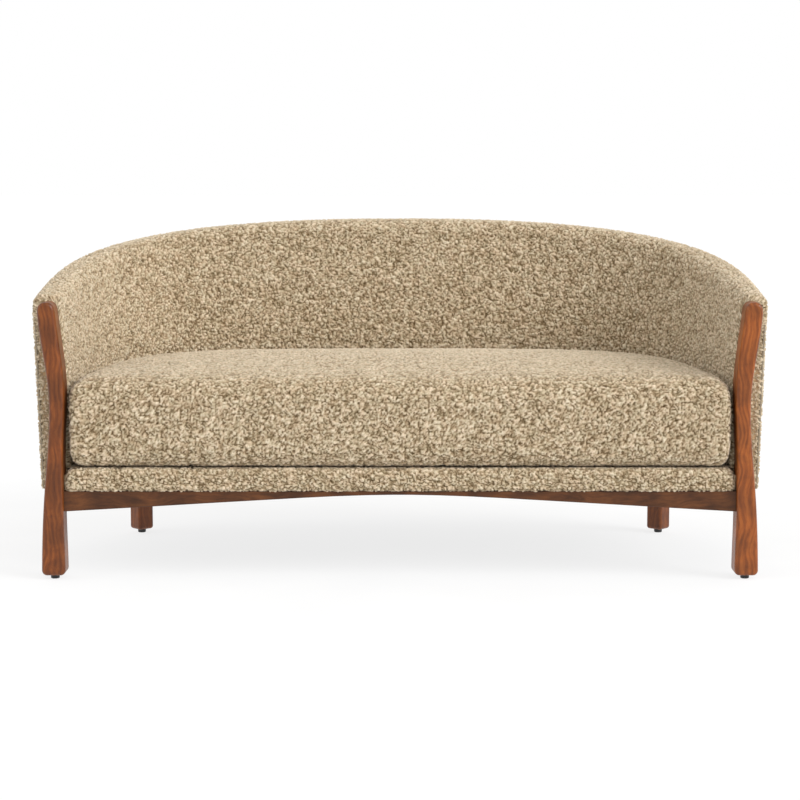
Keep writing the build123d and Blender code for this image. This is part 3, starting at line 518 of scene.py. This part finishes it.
def inflate(piece):
    """Blows the form up with a cloth simulation, and returns how far each point moved."""
    scene = bpy.context.scene
    start = coordinates(piece.data)
    cloth = piece.modifiers.new("Cloth", "CLOTH").settings
    cloth.use_pressure = True
    cloth.uniform_pressure_force = CLOTH_PRESSURE
    cloth.effector_weights.gravity = 0
    for step in range(1, CLOTH_STEPS + 1):
        scene.frame_set(step)
    graph = bpy.context.evaluated_depsgraph_get()
    moved = coordinates(piece.evaluated_get(graph).data) - start
    piece.modifiers.clear()
    scene.frame_set(1)
    return moved


def rounded_share(values):
    """1 in the middle of a range of values, falling off to 0 at its ends."""
    middle = (values.max() + values.min()) / 2
    half = (values.max() - values.min()) / 2
    return 1 - ((values - middle) / half) ** 4


def squared(points, side_x, front_y):
    """Fills out the two front corners of the cushion, as far as the posts leave room."""
    centre_x = side_x - CUSHION_CORNER
    centre_y = front_y + CUSHION_CORNER
    out_x = np.abs(points[:, 0]) - centre_x
    out_y = centre_y - points[:, 1]
    corner = (out_x > 0) & (out_y > 0)
    reach = np.hypot(out_x[corner], out_y[corner])
    power = CORNER_SQUARENESS
    spread = (out_x[corner] / reach) ** power + (out_y[corner] / reach) ** power
    share = spread ** (-1 / power)
    points[corner, 0] = np.sign(points[corner, 0]) * (centre_x + out_x[corner] * share)
    points[corner, 1] = centre_y - out_y[corner] * share
    beside = points[:, 1] < ARM_FRONT_Y + POST_CLEAR_DEPTH
    points[beside, 0] = np.clip(points[beside, 0], -POST_CLEAR_X, POST_CLEAR_X)


def seat_cushion():
    """Loose bench cushion: swollen by a cloth simulation, then covered with curls."""
    piece = link("seat_cushion_boucle", NODES["cushion_core"].data.copy())
    applied(
        piece,
        ("REMESH", {"mode": "VOXEL", "voxel_size": FOAM_VOXEL}),
        ("SMOOTH", {"iterations": 8, "factor": 0.5}),
    )
    start = coordinates(piece.data)
    normal = coordinates(piece.data, "normal")
    moved = inflate(piece)
    moved *= CUSHION_CROWN / moved[:, 2].max()
    inward = np.minimum(0, np.sum(moved * normal, axis=1))
    moved -= normal * inward[:, None]
    front = np.clip(-normal[:, 1], 0, 1)
    points = start + moved + normal * CUSHION_EASE
    middle_x = rounded_share(start[:, 0])
    middle_z = rounded_share(start[:, 2])
    points[:, 1] -= front * CUSHION_SWELL * middle_x * middle_z
    points[:, 2] = np.maximum(points[:, 2], CUSHION_LOW_Z + TUFT_HEIGHT * 0.5)
    set_coordinates(piece.data, points)
    applied(
        piece,
        ("SMOOTH", {"iterations": 4, "factor": 0.5}),
        ("SUBSURF", {"levels": 1}),
        ("REMESH", {"mode": "VOXEL", "voxel_size": CURL_VOXEL}),
        ("SMOOTH", {"iterations": 10, "factor": 0.5}),
    )
    points = coordinates(piece.data)
    low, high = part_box("seat_cushion_cover")
    points[:, 0] *= (high.x + CUSHION_SIDE_EASE) / points[:, 0].max()
    squared(points, points[:, 0].max(), points[:, 1].min())
    forward = np.clip((low.y + LIP_START - points[:, 1]) / LIP_EASE, 0, 1)
    under = np.clip(1 - (points[:, 2] - low.z) / LIP_HEIGHT, 0, 1)
    points[:, 2] -= LIP_SAG * forward * under
    rearward = np.clip((points[:, 1] - REAR_FILL_Y) / REAR_FILL_RUN, 0, 1)
    upward = np.clip((points[:, 2] - REAR_FILL_Z) / REAR_FILL_RISE, 0, 1)
    points[:, 2] += REAR_FILL * rearward * upward
    pile = tufts(points)
    points += coordinates(piece.data, "normal") * ((pile - TUFT_SINK) * TUFT_HEIGHT)[:, None]
    set_coordinates(piece.data, points)
    finish_mesh(piece.data, pile)
    return piece


# ---- materials ----------------------------------------------------------------------------------

WHITE = (1.0, 1.0, 1.0)


def new_material(name):
    material = bpy.data.materials.new(name)
    material.use_nodes = True
    tree = material.node_tree
    tree.nodes.clear()
    output = tree.nodes.new("ShaderNodeOutputMaterial")
    shader = tree.nodes.new("ShaderNodeBsdfPrincipled")
    tree.links.new(shader.outputs["BSDF"], output.inputs["Surface"])
    return material, tree, shader


def node(tree, kind, inputs=None, **settings):
    made = tree.nodes.new("ShaderNode" + kind)
    for key, value in settings.items():
        setattr(made, key, value)
    for key, value in (inputs or {}).items():
        if hasattr(value, "is_output"):
            tree.links.new(value, made.inputs[key])
        else:
            made.inputs[key].default_value = value
    return made


def object_place(tree, scale=(1, 1, 1)):
    place = node(tree, "TexCoord").outputs["Object"]
    return node(tree, "Mapping", {"Vector": place, "Scale": scale}).outputs["Vector"]


def ramp(tree, value, *stops):
    made = node(tree, "ValToRGB", {"Fac": value})
    elements = made.color_ramp.elements
    for i, (position, colour) in enumerate(stops):
        element = elements[i] if i < 2 else elements.new(position)
        element.position = position
        element.color = (*colour, 1)
    return made.outputs["Color"]


def mixed(tree, blend_type, share, a, b):
    made = node(tree, "Mix", data_type="RGBA", blend_type=blend_type)
    for index, value in ((0, share), (6, a), (7, b)):
        if hasattr(value, "is_output"):
            tree.links.new(value, made.inputs[index])
        else:
            made.inputs[index].default_value = value
    return made.outputs[2]


def bumped(tree, shader, height, strength, distance):
    bump = node(tree, "Bump", {"Height": height, "Strength": strength, "Distance": distance})
    tree.links.new(bump.outputs["Normal"], shader.inputs["Normal"])


def boucle():
    """Curly pile: painted shade darkening the gaps, painted highlight paling the tips, strands in
    slightly different shades, soft sheen.
    """
    material, tree, shader = new_material("boucle_cloth")
    pile = node(tree, "Attribute", attribute_name="pile").outputs["Fac"]
    place = object_place(tree)
    strands = node(tree, "TexNoise", {"Vector": place, "Scale": 330, "Detail": 3, "Roughness": 0.6})
    height = {0: strands.outputs["Fac"], 1: 0.5}
    height = node(tree, "Math", height, operation="SUBTRACT").outputs[0]
    height = node(tree, "Math", {0: height, 1: 0.9, 2: pile}, operation="MULTIPLY_ADD").outputs[0]
    # Colour follows pile height: the dark gaps are painted shade and the pale tips a painted
    # highlight, over the curls' own shading; the strand noise is the yarn's real tone.
    colour = ramp(
        tree, height,
        (0.0, (0.115, 0.074, 0.036)), (1.0, (0.855, 0.738, 0.580)),
        (0.30, (0.345, 0.263, 0.162)), (0.62, (0.592, 0.488, 0.350)),
    )
    yarns = node(tree, "TexVoronoi", {"Vector": place, "Scale": 88, "Randomness": 1.0})
    yarn_tone = ramp(tree, yarns.outputs["Color"], (0.2, (0.86, 0.83, 0.78)), (0.8, WHITE))
    patches = node(tree, "TexNoise", {"Vector": place, "Scale": 26, "Detail": 3})
    patch_tone = ramp(tree, patches.outputs["Fac"], (0.3, (0.93, 0.92, 0.90)), (0.7, WHITE))
    colour = mixed(tree, "MULTIPLY", 1.0, colour, yarn_tone)
    colour = mixed(tree, "MULTIPLY", 1.0, colour, patch_tone)
    dyes = node(tree, "TexNoise", {"Vector": place, "Scale": 75, "Detail": 2})
    warm, cool = (0.97, 0.925, 0.885), (0.95, 0.96, 0.93)
    dye_tone = ramp(tree, dyes.outputs["Fac"], (0.40, warm), (0.60, cool))
    colour = mixed(tree, "MULTIPLY", 1.0, colour, dye_tone)
    tree.links.new(colour, shader.inputs["Base Color"])
    shader.inputs["Roughness"].default_value = 0.95
    shader.inputs["Specular IOR Level"].default_value = 0.15
    shader.inputs["Sheen Weight"].default_value = 0.25
    shader.inputs["Sheen Roughness"].default_value = 0.5
    shader.inputs["Sheen Tint"].default_value = (1.0, 0.95, 0.85, 1)
    fine = node(tree, "TexNoise", {"Vector": place, "Scale": 420, "Detail": 4, "Distortion": 0.8})
    bumped(tree, shader, fine.outputs["Fac"], 0.55, 0.002)
    return material


def wood(name, scale, tones, roughness, coat, painted_light_scale=1.0):
    """Grain drawn out along one axis: growth bands, fine pores and a slightly uneven finish; the
    last argument multiplies all its tones, to make a copy with painted light.
    """
    material, tree, shader = new_material(name)
    dark, middle, light = (tuple(c * painted_light_scale for c in tone) for tone in tones)
    place = object_place(tree)
    drift = node(tree, "TexNoise", {"Vector": place, "Scale": 6.5, "Detail": 2})
    bent = mixed(tree, "LINEAR_LIGHT", 0.035, place, drift.outputs["Color"])
    drawn = node(tree, "Mapping", {"Vector": bent, "Scale": scale}).outputs["Vector"]
    rings = {"Vector": drawn, "Scale": 0.9, "Distortion": 6, "Detail": 3, "Detail Scale": 1.5}
    bands = node(tree, "TexWave", rings)
    streaks = node(tree, "TexNoise", {"Vector": drawn, "Scale": 6, "Detail": 7, "Roughness": 0.62})
    grain = node(tree, "Math", {0: bands.outputs["Fac"], 1: 0.20}, operation="MULTIPLY").outputs[0]
    grain = {0: streaks.outputs["Fac"], 1: 0.82, 2: grain}
    grain = node(tree, "Math", grain, operation="MULTIPLY_ADD").outputs[0]
    colour = ramp(tree, grain, (0.32, dark), (0.70, light), (0.50, middle))
    pores = node(tree, "TexNoise", {"Vector": drawn, "Scale": 30, "Detail": 2, "Roughness": 0.5})
    pore_tone = ramp(tree, pores.outputs["Fac"], (0.34, (0.62, 0.58, 0.55)), (0.46, WHITE))
    colour = mixed(tree, "MULTIPLY", 0.45, colour, pore_tone)
    clouds = node(tree, "TexNoise", {"Vector": bent, "Scale": 15, "Detail": 3, "Roughness": 0.6})
    cloud_tone = ramp(tree, clouds.outputs["Fac"], (0.36, (0.66, 0.68, 0.72)), (0.60, WHITE))
    colour = mixed(tree, "MULTIPLY", 0.9, colour, cloud_tone)
    tree.links.new(colour, shader.inputs["Base Color"])
    finish = {"Value": streaks.outputs["Fac"], 3: roughness - 0.07, 4: roughness + 0.08}
    finish = node(tree, "MapRange", finish)
    tree.links.new(finish.outputs[0], shader.inputs["Roughness"])
    shader.inputs["Coat Weight"].default_value = coat
    shader.inputs["Coat Roughness"].default_value = 0.24
    shader.inputs["Specular IOR Level"].default_value = 0.25
    bumped(tree, shader, pores.outputs["Fac"], 0.12, 0.0006)
    return material


def mottled(name, colour, spread, roughness, metallic, scale, bump):
    """Material with a grained surface: moulded plastic, foam, board or metal."""
    material, tree, shader = new_material(name)
    place = object_place(tree)
    grain = node(tree, "TexNoise", {"Vector": place, "Scale": scale, "Detail": 5})
    low = tuple(c * (1 - spread) for c in colour)
    high = tuple(min(1, c * (1 + spread)) for c in colour)
    tone = ramp(tree, grain.outputs["Fac"], (0.3, low), (0.7, high))
    tree.links.new(tone, shader.inputs["Base Color"])
    finish = {"Value": grain.outputs["Fac"], 3: roughness - 0.06, 4: roughness + 0.06}
    finish = node(tree, "MapRange", finish)
    tree.links.new(finish.outputs[0], shader.inputs["Roughness"])
    shader.inputs["Metallic"].default_value = metallic
    bumped(tree, shader, grain.outputs["Fac"], bump, 0.001)
    return material


def woven(name, dark, light, scale, roughness):
    """Plain weave: two crossed sets of threads, with a little unevenness between them."""
    material, tree, shader = new_material(name)
    place = object_place(tree)
    threads = {"Vector": place, "Scale": scale, "Distortion": 0.4}
    warp = node(tree, "TexWave", threads, bands_direction="X")
    weft = node(tree, "TexWave", threads, bands_direction="Y")
    crossing = {0: warp.outputs["Fac"], 1: weft.outputs["Fac"]}
    weave = node(tree, "Math", crossing, operation="MULTIPLY").outputs[0]
    uneven = node(tree, "TexNoise", {"Vector": place, "Scale": 60, "Detail": 4}).outputs["Fac"]
    tone = node(tree, "Math", {0: weave, 1: 0.6, 2: uneven}, operation="MULTIPLY_ADD").outputs[0]
    tree.links.new(ramp(tree, tone, (0.35, dark), (1.0, light)), shader.inputs["Base Color"])
    shader.inputs["Roughness"].default_value = roughness
    bumped(tree, shader, weave, 0.4, 0.0005)
    return material


WALNUT = ((0.124, 0.031, 0.005), (0.183, 0.046, 0.007), (0.245, 0.068, 0.011))
# Walnut tones darkened and dulled for the apron: painted shade under the front band.
APRON_PAINTED_SHADE_TONES = ((0.064, 0.022, 0.007), (0.098, 0.033, 0.010), (0.138, 0.048, 0.014))
BEECH = ((0.42, 0.27, 0.14), (0.56, 0.39, 0.22), (0.68, 0.50, 0.31))
ALONG_Z = (30, 30, 2.6)
ALONG_X = (2.6, 30, 30)
BOUCLE = boucle()
DECK_CLOTH = woven("deck_cotton", (0.34, 0.29, 0.21), (0.55, 0.49, 0.38), 260, 0.9)
DUST_CLOTH = mottled("dust_cover_nonwoven", (0.02, 0.02, 0.021), 0.5, 0.9, 0, 700, 0.5)
FINISHES = {
    "walnut": wood("walnut_upright", ALONG_Z, WALNUT, 0.42, 0.25),
    "boucle": BOUCLE,
    "foam": mottled("open_cell_foam", (0.78, 0.74, 0.58), 0.08, 0.95, 0, 900, 0.7),
    "lining": DUST_CLOTH,
    "webbing": woven("elastic_webbing", (0.02, 0.02, 0.024), (0.10, 0.10, 0.115), 320, 0.8),
    "hardwood": wood("planed_beech", ALONG_X, BEECH, 0.62, 0),
    "board": mottled("grey_board", (0.30, 0.25, 0.18), 0.12, 0.9, 0, 240, 0.3),
    "zip": mottled("zip_tape", (0.33, 0.28, 0.19), 0.2, 0.6, 0, 900, 0.5),
    "zinc_steel": mottled("zinc_plated_steel", (0.62, 0.62, 0.60), 0.12, 0.34, 1, 190, 0.12),
    "insert_steel": mottled("yellow_zinc_steel", (0.60, 0.50, 0.28), 0.15, 0.36, 1, 190, 0.12),
    "glide_black": mottled("moulded_black_nylon", (0.014, 0.014, 0.015), 0.3, 0.5, 0, 800, 0.2),
}
# Walnut copies for two parts: the right post's tones are made brighter as painted light, the apron's
# darker as painted shade.
WOODS_WITH_PAINTED_LIGHT = {
    # Right post: walnut tones 1.5 times brighter, painted light.
    "front_post_right": wood("walnut_upright_painted_light", ALONG_Z, WALNUT, 0.42, 0.25, 1.5),
    # Apron: darker walnut tones, painted shade.
    "front_apron": wood("walnut_long_painted_shade", ALONG_X, APRON_PAINTED_SHADE_TONES, 0.5, 0.05),
}


def dress_frame():
    """Every CAD node that stays gets the material of its slot."""
    slots = {part["node"]: part["material_slot"] for part in frame["record"]["subparts"]}
    for name, part in NODES.items():
        for holder in part.material_slots:
            holder.material = FINISHES[slots[name]]
    # The right post and the apron then get walnut copies with painted light and painted shade.
    for name, material in WOODS_WITH_PAINTED_LIGHT.items():
        for holder in NODES[name].material_slots:
            holder.material = material


def settle(piece, material, body, slot, *nodes):
    piece.data.materials.clear()
    piece.data.materials.append(material)
    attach(piece, body)
    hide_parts(*nodes)
    return piece


# ---- the room: floor, light and camera ----------------------------------------------------------

FLOOR_REACH = 40
FLOOR_GREYS = ((0.17, 0.17, 0.17), (0.19, 0.19, 0.19))
FLOOR_GLOW = 0.80
WORLD_LIGHT = 0.73
LAMPS = (
    ("key_light", (0.82, -0.42, 0.53), 32, 1.95),
    ("fill_light", (-0.80, -0.25, 0.50), 50, 0.55),
    ("front_light", (0.25, -0.65, 0.75), 50, 0.52),
    ("top_light", (0.0, 0.2, 1.0), 60, 0.05),
)
CAMERA_AT = (0, -4.99, 0.97)
CAMERA_DOWN = 6.908
LENS = 92.25


def studio():
    """Pale floor, a world seen white but weaker as light, and soft lamps all shining inwards."""
    mesh = bpy.data.meshes.new("studio_floor")
    square = ((-1, -1), (1, -1), (1, 1), (-1, 1))
    mesh.from_pydata([(x * FLOOR_REACH, y * FLOOR_REACH, 0) for x, y in square], [], [(0, 1, 2, 3)])
    floor = link("studio_floor", mesh)
    material, tree, shader = new_material("pale_floor")
    grain = node(tree, "TexNoise", {"Vector": object_place(tree), "Scale": 3})
    tone = ramp(tree, grain.outputs["Fac"], (0.3, FLOOR_GREYS[0]), (0.7, FLOOR_GREYS[1]))
    tree.links.new(tone, shader.inputs["Base Color"])
    shader.inputs["Roughness"].default_value = 0.9
    shader.inputs["Specular IOR Level"].default_value = 0.0
    shader.inputs["Emission Color"].default_value = (1, 1, 1, 1)
    shader.inputs["Emission Strength"].default_value = FLOOR_GLOW
    mesh.materials.append(material)

    world = bpy.data.worlds.new("white_studio")
    world.use_nodes = True
    nodes = world.node_tree.nodes
    nodes["Background"].inputs["Color"].default_value = (1, 1, 1, 1)
    seen = node(world.node_tree, "LightPath").outputs["Is Camera Ray"]
    strength = node(world.node_tree, "MapRange", {"Value": seen, 3: WORLD_LIGHT, 4: 1.0})
    world.node_tree.links.new(strength.outputs[0], nodes["Background"].inputs["Strength"])
    bpy.context.scene.world = world

    for name, towards, softness, power in LAMPS:
        lamp = bpy.data.lights.new(name, "SUN")
        lamp.angle = math.radians(softness)
        lamp.energy = power
        light = bpy.data.objects.new(name, lamp)
        light.location = Vector(towards) * 4
        light.rotation_euler = (-Vector(towards)).to_track_quat("-Z", "Y").to_euler()
        bpy.context.scene.collection.objects.link(light)


def camera():
    lens = bpy.data.cameras.new("camera")
    lens.sensor_width = 36
    lens.lens = LENS
    eye = bpy.data.objects.new("camera", lens)
    eye.location = CAMERA_AT
    eye.rotation_euler = (math.radians(90 - CAMERA_DOWN), 0, 0)
    bpy.context.scene.collection.objects.link(eye)
    bpy.context.scene.camera = eye
    bpy.context.scene.view_settings.view_transform = "Standard"


noise.seed_set(SWIRL_SEED)
camera()
studio()
dress_frame()

shell_inside = settle(inside_back(), BOUCLE, "root", "boucle", "inside_back_cover")
shell_outside = settle(outside_back(), BOUCLE, "root", "boucle", "outside_back_cover")
for side in (-1, 1):
    settle(arm_facing(side), BOUCLE, "root", "boucle")
band = settle(front_band(), BOUCLE, "root", "boucle", "front_band_cover", "front_band_foam")
cushion = settle(
    seat_cushion(), BOUCLE, "seat_cushion", "boucle", "seat_cushion_cover", "cushion_core"
)
platform = settle(deck(), DECK_CLOTH, "root", "boucle", "deck_pad", "deck_cloth")
under_cloth, under_size, under_area = dust_cover()
settle(under_cloth, DUST_CLOTH, "root", "lining", "dust_cover")
